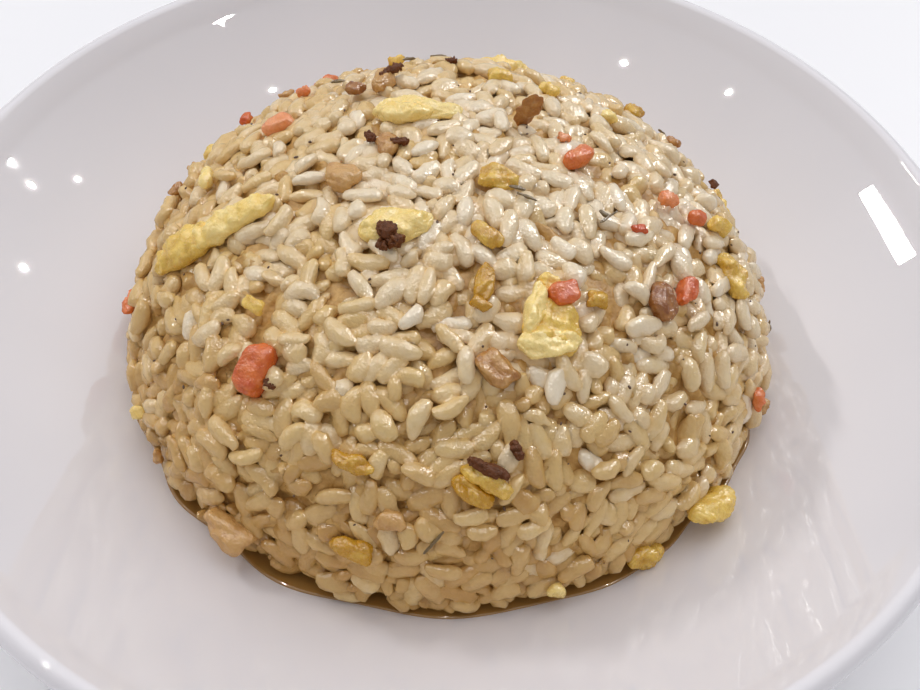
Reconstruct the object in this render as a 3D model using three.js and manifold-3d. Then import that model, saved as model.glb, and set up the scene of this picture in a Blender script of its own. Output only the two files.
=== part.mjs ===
// Fried rice turned out of a round rice bowl onto a deep coupe plate of white porcelain,
// with pieces of egg, carrot and meat lying in the surface of the heap.
// Millimetres, +Z up. The origin is the middle of the plate's foot, on the table.
import * as THREE from 'three';
import { ConvexHull } from 'three/addons/math/ConvexHull.js';
import { mergeVertices } from 'three/addons/utils/BufferGeometryUtils.js';
import Module from 'manifold-3d';

const wasm = await Module();
wasm.setup();

// Plate: flat well, then one sweep of wall up to a fully rounded lip.
const lipHeight = 34;
const lipCrestRadius = 98.8;
const lipRound = 2.1;
const wellHeight = 8.5;
const wellRadius = 48;
const wallCurve = 1.7;
const wallRadii = [ 57, 66, 75, 83, 90.5 ];
const footOuterRadius = 51.5;
const footInnerRadius = 47.5;
const footRecess = 4;
const footInnerFlare = 0.8;
const footOuterFlare = 0.5;
const wallFootHeight = 4.9;
const lipSteps = 5;
const plateSides = 48;

// Heap: the crown is half an ellipsoid over its belly, and tucks in below it.
const heapCentre = new THREE.Vector2( 1.4, 1.0 );
const bellyRadius = 62.6;
const bellyHeight = 13.6;
const crownRise = 45.0;
const tuckIn = 2.4;
const tuckDepth = 3;
const coreInset = 1.7;
const coreSides = 36;

// Grains: cooked short-grain rice. The ridge of a grain stands proud of the hollows round
// it, is uneven in height from grain to grain, tilts along the grain and dips at its ends.
const grainLength = 8.4;
const grainWidth = 3.5;
const grainProud = 2.0;
const ridgeUneven = 0.8;
const ridgeTilt = 0.6;
const ridgeDip = 0.25;
const hollowUneven = 0.4;
const leastWidth = 0.9;
const widthSpread = 0.2;

// How the grains are laid: how many are dropped, how much longer than usual the first are
// and how far that falls, the row round the foot, and how near to each other they may lie.
const grainDrops = 9000;
const longestGrain = 1.16;
const grainTaper = 0.42;
const footDrops = 240;
const footLatitude = 0.035;
const leastFootLength = 0.7;
const footLengthSpread = 0.3;
const grainCrowding = 0.44;
const ringShare = 0.56;
const hollowReach = 0.4;
const hollowSpacing = 1.4;
const openSpacing = 3.4;
const hollowDrops = 4000;
const layingSeed = 31;
const skinSeed = 47;

// Air between neighbouring solids.
const gap = 0.35;

// The cut that keeps food off the plate stops this far short of the lip's crest.
const lipMargin = 4;

// The heap's points are joined as seen from this far below its belly.
const starDrop = 1;

// A longer lump has more facets. Slow waves roughen it, in radians over half its length,
// width and thickness: a broad one along and across, and a finer one across and up.
const largeLump = 9;
const largeFacets = [ 10, 7 ];
const smallFacets = [ 8, 5 ];
const broadWave = [ 3.1, 2.3 ];
const fineWave = [ 4.2, 2.0 ];
const fineShare = 0.5;
const seedsPerKind = 100;

const degrees = THREE.MathUtils.degToRad;

// The view that most toppings' places are read in: a picture of 920 by 690 pixels. Its
// focal length is in pixels too, and its roll in degrees.
const viewSize = new THREE.Vector2( 920, 690 );
const viewFocal = 1250;
const viewFrom = new THREE.Vector3( 0, - 160.56, 203.16 );
const viewTo = new THREE.Vector3( 3.96, 7.52, 0 );
const viewRoll = 2.3;
const viewCamera = new THREE.PerspectiveCamera(
	THREE.MathUtils.radToDeg( 2 * Math.atan( viewSize.y / 2 / viewFocal ) ), viewSize.x / viewSize.y );
viewCamera.up.set( 0, 0, 1 );
viewCamera.position.copy( viewFrom );
viewCamera.lookAt( viewTo );
viewCamera.rotateZ( degrees( viewRoll ) );
viewCamera.updateMatrixWorld();

// The heap's outline is the unit ball, stretched and set in its place.
const stretch = new THREE.Matrix4()
	.makeScale( bellyRadius, bellyRadius, crownRise )
	.setPosition( heapCentre.x, heapCentre.y, bellyHeight );
const shrink = stretch.clone().invert();

// The point of the outline that is seen at a pixel.
function seenPoint( x, y ) {
	const onScreen = new THREE.Vector2( 2 * x / viewSize.x - 1, 1 - 2 * y / viewSize.y );
	const caster = new THREE.Raycaster();
	caster.setFromCamera( onScreen, viewCamera );
	const ball = new THREE.Sphere( new THREE.Vector3(), 1 );
	return caster.ray.applyMatrix4( shrink ).intersectSphere( ball, new THREE.Vector3() ).applyMatrix4( stretch );
}

// Toppings. A lump's lie is its azimuth, latitude and turn in degrees: where on the heap
// it is and which way its length runs. Then come its length, width and thickness, and the
// lift of its middle over the heap's outline. Taper widens one end and narrows the other.
// A corner power stands for the kind's own, and over 1 the ends are pointed.
const lump = ( name, lie, size, lift, { taper = 0, corner } = {} ) => {
	const [ azimuth, latitude, turn ] = lie.map( degrees );
	return { name, azimuth, latitude, turn, size, lift, taper, corner };
};

// A lump whose lie is read in the view, from the pixels where its two ends are seen.
const seen = ( name, [ fromX, fromY, toX, toY ], size, lift, options ) => {
	const middle = seenPoint( ( fromX + toX ) / 2, ( fromY + toY ) / 2 ).applyMatrix4( shrink );
	const azimuth = Math.atan2( middle.y, middle.x );
	const latitude = Math.asin( middle.z );
	const { east, uphill } = heapPlace( azimuth, latitude );
	const run = seenPoint( toX, toY ).sub( seenPoint( fromX, fromY ) );
	const turn = Math.atan2( run.dot( uphill ), run.dot( east ) );
	const lie = [ azimuth, latitude, turn ].map( THREE.MathUtils.radToDeg );
	return lump( name, lie, size, lift, options );
};
const eggPieces = [
	seen( 'egg_crown', [ 454, 106, 368, 108 ], [ 15, 7.5, 4.4 ], - 0.6, { taper: 0.1 } ),
	seen( 'egg_charred_top', [ 362, 222, 427, 222 ], [ 11, 7, 5 ], - 0.7, { taper: 0.15 } ),
	seen( 'egg_strip', [ 150, 270, 256, 199 ], [ 27, 7, 4.4 ], - 0.5, { taper: - 0.25 } ),
	seen( 'egg_fold', [ 538, 368, 558, 296 ], [ 12.8, 9.4, 5.4 ], - 0.3, { taper: - 0.4 } ),
	seen( 'egg_wedge', [ 482, 171, 518, 181 ], [ 6.6, 5, 3.4 ], - 0.6, { taper: - 0.3 } ),
	seen( 'egg_sliver', [ 478, 303, 491, 259 ], [ 8, 3.6, 3 ], - 0.5 ),
	seen( 'egg_right_shoulder', [ 722, 249, 746, 297 ], [ 10, 6, 3.8 ], - 0.4 ),
	seen( 'egg_front_left', [ 330, 453, 373, 472 ], [ 8.2, 4.2, 3.2 ], - 0.5, { taper: 0.2 } ),
	seen( 'egg_charred_front', [ 455, 474, 511, 500 ], [ 10.6, 6, 4.4 ], - 0.4 ),
	seen( 'egg_front_low', [ 326, 543, 373, 557 ], [ 8.6, 4, 3.2 ], - 0.5, { taper: 0.2 } ),
	lump( 'egg_skirt_right', [ - 43, 4.5, - 20 ], [ 11.5, 5.6, 5.4 ], 1.2 ),
	lump( 'egg_foot_right', [ - 56, 1, - 25 ], [ 8, 4.4, 3.6 ], - 0.4 ),
	lump( 'egg_back', [ 78, 33, 20 ], [ 11, 7, 4.2 ], - 0.5, { taper: 0.2 } ),
	lump( 'egg_back_low', [ 24, 14, 70 ], [ 8, 5, 3.6 ], - 0.5, { taper: - 0.2 } ),
];
const carrotPieces = [
	seen( 'carrot_chunk', [ 244, 392, 266, 347 ], [ 8.6, 6, 5.6 ], - 0.4, { taper: 0.1 } ),
	seen( 'carrot_left_shoulder', [ 289, 118, 265, 129 ], [ 5.6, 4, 3.6 ], - 0.4 ),
	seen( 'carrot_top', [ 590, 148, 566, 161 ], [ 6.4, 3.8, 3.4 ], - 0.6 ),
	seen( 'carrot_on_egg', [ 549, 300, 576, 296 ], [ 5, 4, 3.4 ], 1.4 ),
	seen( 'carrot_right', [ 682, 308, 695, 271 ], [ 6, 3.4, 3.2 ], - 0.4 ),
	lump( 'carrot_back', [ 118, 26, 40 ], [ 7, 5, 4.6 ], - 0.5 ),
];
const meatPieces = [
	lump( 'meat_flake', [ 44, 73, 46 ], [ 4.2, 2, 9.4 ], 1.8, { corner: 1.15 } ),
	seen( 'meat_oval', [ 668, 320, 656, 286 ], [ 6.8, 4.8, 4 ], - 0.2 ),
	seen( 'meat_tan_top', [ 325, 175, 360, 176 ], [ 6.8, 5.4, 3.6 ], - 0.6 ),
	lump( 'meat_foot_left', [ - 126, 5.5, - 20 ], [ 9, 6.4, 5 ], 0.2 ),
	seen( 'meat_middle', [ 481, 356, 513, 382 ], [ 6.8, 5.2, 3.8 ], - 0.5 ),
	seen( 'meat_edged_top', [ 376, 135, 402, 151 ], [ 6, 3.8, 3 ], - 0.5 ),
	seen( 'meat_strip_back', [ 372, 90, 398, 73 ], [ 6.4, 3, 3 ], 0 ),
	lump( 'meat_back', [ 50, 22, 10 ], [ 7, 5.4, 4.2 ], - 0.5 ),
];

// Crumbs, too small to be toppings, lie among the grains and are one with the heap.
const crumbCount = 12;
const crumbLengths = [ 3.4, 6.5 ];
const crumbWidths = [ 2.4, 3.2 ];

// The same draws on every run.
const drawFactor = 1664525;
const drawStep = 1013904223;
const drawRange = 2 ** 32;
function seededRandom( seed ) {
	let state = seed;
	return () => {
		state = ( state * drawFactor + drawStep ) % drawRange;
		return state / drawRange;
	};
}

// A closed geometry becomes a solid once its seams are welded and its folded faces dropped.
function toSolid( geometry ) {
	const bare = geometry.clone();
	bare.deleteAttribute( 'normal' );
	bare.deleteAttribute( 'uv' );
	const welded = mergeVertices( bare );
	const index = welded.index.array;
	const faces = [];
	for ( let i = 0; i < index.length; i += 3 ) {
		const [ a, b, c ] = [ index[ i ], index[ i + 1 ], index[ i + 2 ] ];
		if ( a !== b && b !== c && c !== a ) faces.push( a, b, c );
	}
	return new wasm.Manifold( new wasm.Mesh( {
		numProp: 3,
		vertProperties: welded.attributes.position.array,
		triVerts: new Uint32Array( faces ),
	} ) );
}

function toGeometry( solid ) {
	const mesh = solid.getMesh();
	const geometry = new THREE.BufferGeometry();
	geometry.setAttribute( 'position', new THREE.BufferAttribute( mesh.vertProperties, 3 ) );
	geometry.setIndex( new THREE.BufferAttribute( mesh.triVerts, 1 ) );
	return geometry;
}

// A profile of radius and height, turned about the vertical axis; it runs from the axis
// at the bottom round to the axis at the top.
function turned( profile, sides ) {
	const geometry = new THREE.LatheGeometry( profile, sides );
	geometry.rotateX( Math.PI / 2 );
	return geometry;
}

// Height of the plate's inner face at a radius.
function innerFace( radius ) {
	const out = Math.max( 0, radius - wellRadius ) / ( lipCrestRadius - wellRadius );
	return wellHeight + ( lipHeight - wellHeight ) * out ** wallCurve;
}

// The slope of the inner face, as an angle from level.
function innerSlope( radius ) {
	const step = 0.01;
	return Math.atan( ( innerFace( radius + step ) - innerFace( radius - step ) ) / ( 2 * step ) );
}

// The wall keeps twice the lip's round as its thickness, so the lip runs into both faces.
function plateSolid() {
	const lipSlope = innerSlope( lipCrestRadius - lipRound );
	const lipCentre = new THREE.Vector2( lipCrestRadius, lipHeight - lipRound );
	const profile = [
		new THREE.Vector2( 0, footRecess ),
		new THREE.Vector2( footInnerRadius - footInnerFlare, footRecess ),
		new THREE.Vector2( footInnerRadius, 0 ),
		new THREE.Vector2( footOuterRadius, 0 ),
		new THREE.Vector2( footOuterRadius + footOuterFlare, wallFootHeight ),
	];
	for ( const radius of wallRadii ) {
		const slope = innerSlope( radius );
		const underRadius = radius + 2 * lipRound * Math.sin( slope );
		const underHeight = innerFace( radius ) - 2 * lipRound * Math.cos( slope );
		profile.push( new THREE.Vector2( underRadius, underHeight ) );
	}
	for ( let i = 0; i <= lipSteps; i ++ ) {
		const angle = lipSlope - Math.PI / 2 + Math.PI * i / lipSteps;
		const onLip = new THREE.Vector2( Math.cos( angle ), Math.sin( angle ) );
		profile.push( onLip.multiplyScalar( lipRound ).add( lipCentre ) );
	}
	for ( const radius of wallRadii.toReversed() ) {
		profile.push( new THREE.Vector2( radius, innerFace( radius ) ) );
	}
	profile.push( new THREE.Vector2( wellRadius, wellHeight ) );
	profile.push( new THREE.Vector2( 0, wellHeight ) );
	return toSolid( turned( profile, plateSides ) );
}

// Everything below the plate's inner face and the gap over it, which food keeps out of.
function dishSpace() {
	const under = - 5;
	const reach = lipCrestRadius - lipMargin;
	const steps = 8;
	const profile = [ new THREE.Vector2( 0, under ), new THREE.Vector2( reach, under ) ];
	for ( let i = 0; i <= steps; i ++ ) {
		const radius = reach + ( wellRadius - reach ) * i / steps;
		profile.push( new THREE.Vector2( radius, innerFace( radius ) + gap ) );
	}
	profile.push( new THREE.Vector2( 0, wellHeight + gap ) );
	return toSolid( turned( profile, plateSides ) );
}

// A place on the heap's outline with its east, its way up the slope and its normal.
function heapPlace( azimuth, latitude ) {
	const radii = new THREE.Vector3( bellyRadius, bellyRadius, crownRise );
	const middle = new THREE.Vector3( heapCentre.x, heapCentre.y, bellyHeight );
	const ball = new THREE.Vector3(
		Math.cos( latitude ) * Math.cos( azimuth ),
		Math.cos( latitude ) * Math.sin( azimuth ),
		Math.sin( latitude ) );
	const point = ball.clone().multiply( radii ).add( middle );
	const normal = ball.clone().divide( radii ).normalize();
	const east = new THREE.Vector3( - Math.sin( azimuth ), Math.cos( azimuth ), 0 );
	const uphill = normal.clone().cross( east );
	return { middle, radii, point, normal, east, uphill };
}

// A point x along and y across a turned place, bent down onto the outline, then raised by z.
function onHeap( place, turn, x, y, z ) {
	const eastward = x * Math.cos( turn ) - y * Math.sin( turn );
	const upward = x * Math.sin( turn ) + y * Math.cos( turn );
	const flat = place.point.clone()
		.addScaledVector( place.east, eastward )
		.addScaledVector( place.uphill, upward );
	const ball = flat.sub( place.middle ).divide( place.radii ).normalize();
	const normal = ball.clone().divide( place.radii ).normalize();
	return ball.multiply( place.radii ).add( place.middle ).addScaledVector( normal, z );
}

// A grain lying on the heap: where its two round ends have their centres.
function grainAt( azimuth, latitude, turn, length, width ) {
	const place = heapPlace( azimuth, latitude );
	const reach = ( length - width ) / 2;
	const tips = [ - reach, 0, reach ].map( ( x ) => onHeap( place, turn, x, 0, 0 ) );
	return { place, turn, length, width, reach, tips };
}

// Whether a point is nearer to a grain's middle line than a distance.
function isNear( point, grain, distance ) {
	if ( point.distanceTo( grain.tips[ 1 ] ) > grain.reach + distance ) return false;
	const line = new THREE.Line3( grain.tips[ 0 ], grain.tips[ 2 ] );
	const foot = line.closestPointToPoint( point, true, new THREE.Vector3() );
	return foot.distanceTo( point ) < distance;
}

// Whether a point lies within a margin of a topping's outline on the heap.
function isUnder( point, topping, margin ) {
	const { place, turn, length, width } = topping;
	const offset = point.clone().sub( place.point );
	if ( offset.length() > length / 2 + margin ) return false;
	const east = offset.dot( place.east );
	const up = offset.dot( place.uphill );
	const along = ( east * Math.cos( turn ) + up * Math.sin( turn ) ) / ( length / 2 + margin );
	const across = ( up * Math.cos( turn ) - east * Math.sin( turn ) ) / ( width / 2 + margin );
	return along ** 2 + across ** 2 < 1;
}

// A draw of azimuth and latitude that falls as often on every patch of the heap.
function drawPlace( random ) {
	for ( ;; ) {
		const rise = random();
		const level = Math.hypot( Math.sqrt( 1 - rise * rise ) * crownRise / bellyRadius, rise );
		if ( random() < level ) return [ 2 * Math.PI * random(), Math.asin( rise ) ];
	}
}

// Whether a grain clears the toppings and the grains already laid.
function isClear( grain, grains, toppings ) {
	const reachOf = ( other ) => ( grain.width + other.width ) * grainCrowding;
	const meets = ( topping ) => grain.tips.some( ( tip ) => isUnder( tip, topping, grain.width / 2 ) );
	const touches = ( other ) => grain.tips.some( ( tip ) => isNear( tip, other, reachOf( other ) ) )
		|| other.tips.some( ( tip ) => isNear( tip, grain, reachOf( other ) ) );
	return ! toppings.some( meets ) && ! grains.some( touches );
}

// The crumbs are laid first, then a row of grains round the foot. The others are dropped
// one after another, longest first, any way round. All stay only where they are clear.
function layGrains( toppings ) {
	const random = seededRandom( layingSeed );
	const grains = [];
	const drawWidth = () => grainWidth * ( leastWidth + widthSpread * random() );
	const lay = ( azimuth, latitude, length, width = drawWidth() ) => {
		const grain = grainAt( azimuth, latitude, Math.PI * random(), length, width );
		if ( isClear( grain, grains, toppings ) ) grains.push( grain );
	};
	const between = ( [ least, most ] ) => least + ( most - least ) * random();
	while ( grains.length < crumbCount ) {
		lay( ...drawPlace( random ), between( crumbLengths ), between( crumbWidths ) );
	}
	for ( let i = 0; i < footDrops; i ++ ) {
		const length = grainLength * ( leastFootLength + footLengthSpread * random() );
		lay( 2 * Math.PI * i / footDrops, footLatitude, length );
	}
	for ( let i = 0; i < grainDrops; i ++ ) {
		lay( ...drawPlace( random ), grainLength * ( longestGrain - grainTaper * i / grainDrops ) );
	}
	return grains;
}

// The heap's skin: each grain is a ridge of three points in a ring of low ones, which
// neighbours share, and further low points hold the hollows between grains.
function skinPoints( toppings ) {
	const grains = layGrains( toppings );
	const random = seededRandom( skinSeed );
	const ridges = [];
	const hollows = [];
	const addHollow = ( place, turn, x, y, spacing ) => {
		const point = onHeap( place, turn, x, y, 0 );
		const taken = hollows.some( ( other ) => other.point.distanceTo( point ) < spacing )
			|| grains.some( ( other ) => isNear( point, other, other.width * hollowReach ) );
		if ( taken ) return;
		const height = - grainProud - hollowUneven * random();
		hollows.push( { point, raised: onHeap( place, turn, x, y, height ) } );
	};
	for ( const { place, turn, width, reach } of grains ) {
		const height = ridgeUneven * ( random() - 0.5 );
		const tilt = ridgeTilt * ( random() - 0.5 );
		for ( const end of [ - 1, 0, 1 ] ) {
			const dip = ridgeDip * Math.abs( end );
			ridges.push( onHeap( place, turn, end * reach, 0, height + end * tilt - dip ) );
			for ( const side of [ - 1, 1 ] ) {
				addHollow( place, turn, end * reach, side * width * ringShare, hollowSpacing );
			}
		}
		for ( const end of [ - 1, 1 ] ) {
			addHollow( place, turn, end * ( reach + width * ringShare ), 0, hollowSpacing );
		}
	}
	for ( let i = 0; i < hollowDrops; i ++ ) {
		const [ azimuth, latitude ] = drawPlace( random );
		addHollow( heapPlace( azimuth, latitude ), 0, 0, 0, openSpacing );
	}
	return [ ...ridges, ...hollows.map( ( { raised } ) => raised ) ];
}

// The foot of the heap, carried on down past the dish's inner face.
function footPoints() {
	const radius = bellyRadius - coreInset - tuckIn;
	const points = [ new THREE.Vector3( heapCentre.x, heapCentre.y, 0 ) ];
	for ( let i = 0; i < coreSides; i ++ ) {
		const angle = 2 * Math.PI * i / coreSides;
		const x = heapCentre.x + radius * Math.cos( angle );
		const y = heapCentre.y + radius * Math.sin( angle );
		for ( const z of [ 0, bellyHeight - tuckDepth ] ) points.push( new THREE.Vector3( x, y, z ) );
	}
	return points;
}

// Points seen from the middle of the heap, joined as their directions are on a ball, where
// the hull of the directions has every point as a corner and no face crosses another.
function starSolid( points ) {
	const middle = new THREE.Vector3( heapCentre.x, heapCentre.y, bellyHeight - starDrop );
	const directions = points.map( ( point ) => point.clone().sub( middle ).normalize() );
	const order = new Map( directions.map( ( direction, i ) => [ direction, i ] ) );
	const faces = new ConvexHull().setFromPoints( directions ).faces.flatMap( ( { edge } ) => (
		[ edge, edge.next, edge.next.next ].map( ( side ) => order.get( side.head().point ) ) ) );
	const geometry = new THREE.BufferGeometry().setFromPoints( points );
	geometry.setIndex( faces );
	return toSolid( geometry );
}

// A lump of food: a ball squared off by its corner power, tapered, roughened by slow
// waves and bent onto the heap. Growing it by the gap gives the pocket it lies in.
function toppingSolid( piece, corner, waves, seed, grow ) {
	const place = heapPlace( piece.azimuth, piece.latitude );
	const [ length, width, thickness ] = piece.size;
	const [ columns, rows ] = length > largeLump ? largeFacets : smallFacets;
	const geometry = new THREE.SphereGeometry( 1, columns, rows );
	geometry.rotateZ( Math.PI / 2 );
	const random = seededRandom( seed );
	const phases = [ random(), random(), random() ].map( ( draw ) => draw * 2 * Math.PI );
	const squared = ( value ) => Math.sign( value ) * Math.abs( value ) ** corner;
	const spot = new THREE.Vector3();
	const position = geometry.attributes.position;
	for ( let i = 0; i < position.count; i ++ ) {
		spot.fromBufferAttribute( position, i );
		const swell = 1 + waves * (
			Math.sin( broadWave[ 0 ] * spot.x + phases[ 0 ] )
			* Math.cos( broadWave[ 1 ] * spot.y + phases[ 1 ] )
			+ fineShare * Math.sin( fineWave[ 0 ] * spot.y + fineWave[ 1 ] * spot.z + phases[ 2 ] ) );
		const x = squared( spot.x ) * ( length / 2 * swell + grow );
		const y = squared( spot.y ) * ( width / 2 * swell * ( 1 + piece.taper * spot.x ) + grow );
		const z = squared( spot.z ) * ( thickness / 2 * swell + grow ) + piece.lift;
		const laid = onHeap( place, piece.turn, x, y, z );
		position.setXYZ( i, laid.x, laid.y, laid.z );
	}
	return toSolid( geometry );
}

// The heap is one body: hollows shut in by the cuts are filled and scraps dropped.
function heapSolid( toppings, pockets, dish ) {
	const heap = starSolid( [ ...skinPoints( toppings ), ...footPoints() ] );
	const bodies = heap.subtract( pockets ).subtract( dish ).decompose();
	return bodies.reduce( ( best, body ) => ( body.volume() > best.volume() ? body : best ) );
}

const materials = {
	porcelain: new THREE.MeshStandardMaterial( { color: 0xe3dfe1, roughness: 0.12, metalness: 0 } ),
	rice: new THREE.MeshStandardMaterial( { color: 0xd2c09a, roughness: 0.35, metalness: 0 } ),
	egg: new THREE.MeshStandardMaterial( { color: 0xdfc258, roughness: 0.4, metalness: 0 } ),
	carrot: new THREE.MeshStandardMaterial( { color: 0xcf5a35, roughness: 0.3, metalness: 0 } ),
	meat: new THREE.MeshStandardMaterial( { color: 0x9a6a3c, roughness: 0.45, metalness: 0 } ),
};

function named( name, solid, material ) {
	const mesh = new THREE.Mesh( toGeometry( solid ), material );
	mesh.name = name;
	return mesh;
}

// Egg is soft and lumpy, carrot cut square, meat between the two.
const kinds = [
	{ pieces: eggPieces, material: materials.egg, corner: 0.85, waves: 0.1 },
	{ pieces: carrotPieces, material: materials.carrot, corner: 0.6, waves: 0.04 },
	{ pieces: meatPieces, material: materials.meat, corner: 0.75, waves: 0.07 },
];

// Every topping with its solid and its pocket; one that lies on another comes after it,
// and the one beneath gives way to its pocket.
function layToppings( dish ) {
	const laid = kinds.flatMap( ( { pieces, material, corner, waves }, kind ) => pieces.map( ( piece, i ) => {
		const seed = seedsPerKind * ( kind + 1 ) + i;
		return {
			name: piece.name,
			material,
			place: heapPlace( piece.azimuth, piece.latitude ),
			turn: piece.turn,
			length: piece.size[ 0 ],
			width: piece.size[ 1 ],
			solid: toppingSolid( piece, piece.corner ?? corner, waves, seed, 0 ).subtract( dish ),
			pocket: toppingSolid( piece, piece.corner ?? corner, waves, seed, gap ),
		};
	} ) );
	for ( const [ i, topping ] of laid.entries() ) {
		for ( const later of laid.slice( i + 1 ) ) topping.solid = topping.solid.subtract( later.pocket );
	}
	return laid;
}

const dish = dishSpace();
const toppings = layToppings( dish );
const pockets = wasm.Manifold.union( toppings.map( ( topping ) => topping.pocket ) );

const food = new THREE.Group();
food.add( named( 'rice_heap', heapSolid( toppings, pockets, dish ), materials.rice ) );
for ( const { name, solid, material } of toppings ) food.add( named( name, solid, material ) );

const group = new THREE.Group();
group.add( named( 'plate', plateSolid(), materials.porcelain ) );
group.add( food );

export default group;
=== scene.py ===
import bpy
import numpy as np
from mathutils import Matrix, Vector


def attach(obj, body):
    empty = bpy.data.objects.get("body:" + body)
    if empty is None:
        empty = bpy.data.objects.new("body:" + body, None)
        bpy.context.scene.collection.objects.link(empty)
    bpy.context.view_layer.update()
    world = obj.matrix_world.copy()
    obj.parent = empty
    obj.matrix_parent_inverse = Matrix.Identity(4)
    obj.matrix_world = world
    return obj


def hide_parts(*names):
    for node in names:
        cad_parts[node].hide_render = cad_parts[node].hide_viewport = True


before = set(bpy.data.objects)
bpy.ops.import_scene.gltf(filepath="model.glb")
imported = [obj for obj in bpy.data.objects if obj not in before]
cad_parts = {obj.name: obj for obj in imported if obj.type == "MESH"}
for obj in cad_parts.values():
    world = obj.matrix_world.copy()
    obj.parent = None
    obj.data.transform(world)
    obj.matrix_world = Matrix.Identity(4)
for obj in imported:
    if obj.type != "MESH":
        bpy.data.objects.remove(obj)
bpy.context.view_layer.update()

# Shapes are worked out in millimetres with +Z up, from the middle of the plate's foot.
mm = 0.001


# Faces of one closed shell of rings with a tip at either end: vertex 0 is the first tip,
# then come the rings, ring after ring, and the last vertex is the other tip.
def shellFaces(rings, sides):
    side = np.arange(sides)
    turn = (side + 1) % sides
    ring = 1 + sides * np.arange(rings - 1)[:, None]
    quads = np.stack([ring + side, ring + turn, ring + sides + turn, ring + sides + side], -1)
    last = 1 + sides * (rings - 1)
    firstFan = np.stack([np.zeros_like(side), 1 + turn, 1 + side], -1)
    lastFan = np.stack([np.full_like(side, 1 + sides * rings), last + side, last + turn], -1)
    return quads.reshape(-1, 4), np.concatenate([firstFan, lastFan])


# One mesh from points in millimetres, quads and triangles, with a number for every point
# under each name in marks. Its normals are drawn over by the vectors in lean.
def buildMesh(name, points, quads, triangles, material, marks=None, lean=None):
    mesh = bpy.data.meshes.new(name)
    corners = np.concatenate([quads.ravel(), triangles.ravel()]).astype(np.int32)
    quadStarts, triangleStarts = 4 * np.arange(len(quads)), 3 * np.arange(len(triangles))
    starts = np.concatenate([quadStarts, 4 * len(quads) + triangleStarts])
    mesh.vertices.add(len(points))
    mesh.vertices.foreach_set("co", (points * mm).ravel())
    mesh.loops.add(len(corners))
    mesh.loops.foreach_set("vertex_index", corners)
    mesh.polygons.add(len(starts))
    mesh.polygons.foreach_set("loop_start", starts.astype(np.int32))
    mesh.update(calc_edges=True)
    mesh.polygons.foreach_set("use_smooth", np.ones(len(starts), bool))
    for mark, values in (marks or {}).items():
        mesh.attributes.new(mark, "FLOAT", "POINT").data.foreach_set("value", values.astype(np.float32))
    if lean is not None:
        own = np.zeros(len(points) * 3, np.float32)
        mesh.vertex_normals.foreach_get("vector", own)
        mesh.normals_split_custom_set_from_vertices(unit(own.reshape(-1, 3) + lean))
    mesh.materials.append(material)
    piece = bpy.data.objects.new(name, mesh)
    bpy.context.scene.collection.objects.link(piece)
    return piece


# Many closed shells of the same rings and sides, as one mesh.
# Rings: (count, rings, sides, 3). Tips: (count, 2, 3). Each mark: (count, rings * sides + 2).
def buildShells(name, rings, tips, material, marks=None, lean=None):
    count, ringCount, sides, _ = rings.shape
    points = np.concatenate([tips[:, :1], rings.reshape(count, -1, 3), tips[:, 1:]], 1)
    quads, triangles = shellFaces(ringCount, sides)
    offset = points.shape[1] * np.arange(count)[:, None, None]
    flat = {mark: values.ravel() for mark, values in (marks or {}).items()}
    quads, triangles = (quads + offset).reshape(-1, 4), (triangles + offset).reshape(-1, 3)
    lean = None if lean is None else lean.reshape(-1, 3)
    return buildMesh(name, points.reshape(-1, 3), quads, triangles, material, flat, lean)


# A profile of radius and height turned about the vertical axis; both ends lie on the axis.
def buildTurned(name, profile, sides, material):
    angle = 2 * np.pi * np.arange(sides) / sides
    radius, height = profile[1:-1].T
    x, y = radius[:, None] * np.cos(angle), radius[:, None] * np.sin(angle)
    rings = np.stack([x, y, np.repeat(height[:, None], sides, 1)], -1)
    ends = np.array([[0, 0, profile[0, 1]], [0, 0, profile[-1, 1]]])
    return buildShells(name, rings[None], ends[None], material)


# Slow noise: a sum of cosines, each running its own way with a length near the one given.
def ripples(points, length, seed, count=9):
    draw = np.random.default_rng(seed)
    ways = draw.normal(size=(count, 3))
    steepness = 2 * np.pi / length / np.linalg.norm(ways, axis=1, keepdims=True)
    ways *= steepness * draw.uniform(0.7, 1.4, (count, 1))
    return np.cos(points @ ways.T + draw.uniform(0, 2 * np.pi, count)).sum(-1) / np.sqrt(count / 2)


def unit(vectors):
    return vectors / np.maximum(np.linalg.norm(vectors, axis=-1, keepdims=True), 1e-9)


# A socket of a material under construction: Python's operators add the Math nodes.
class Wire:
    def __init__(self, recipe, socket):
        self.recipe = recipe
        self.socket = socket

    def join(self, operation, first, second):
        return self.recipe.node("ShaderNodeMath", {"operation": operation}, {0: first, 1: second})

    def __add__(self, other):
        return self.join("ADD", self, other)

    def __radd__(self, other):
        return self.join("ADD", other, self)

    def __sub__(self, other):
        return self.join("SUBTRACT", self, other)

    def __rsub__(self, other):
        return self.join("SUBTRACT", other, self)

    def __mul__(self, other):
        return self.join("MULTIPLY", self, other)

    def __rmul__(self, other):
        return self.join("MULTIPLY", other, self)

    def __pow__(self, other):
        return self.join("POWER", self, other)


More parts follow.
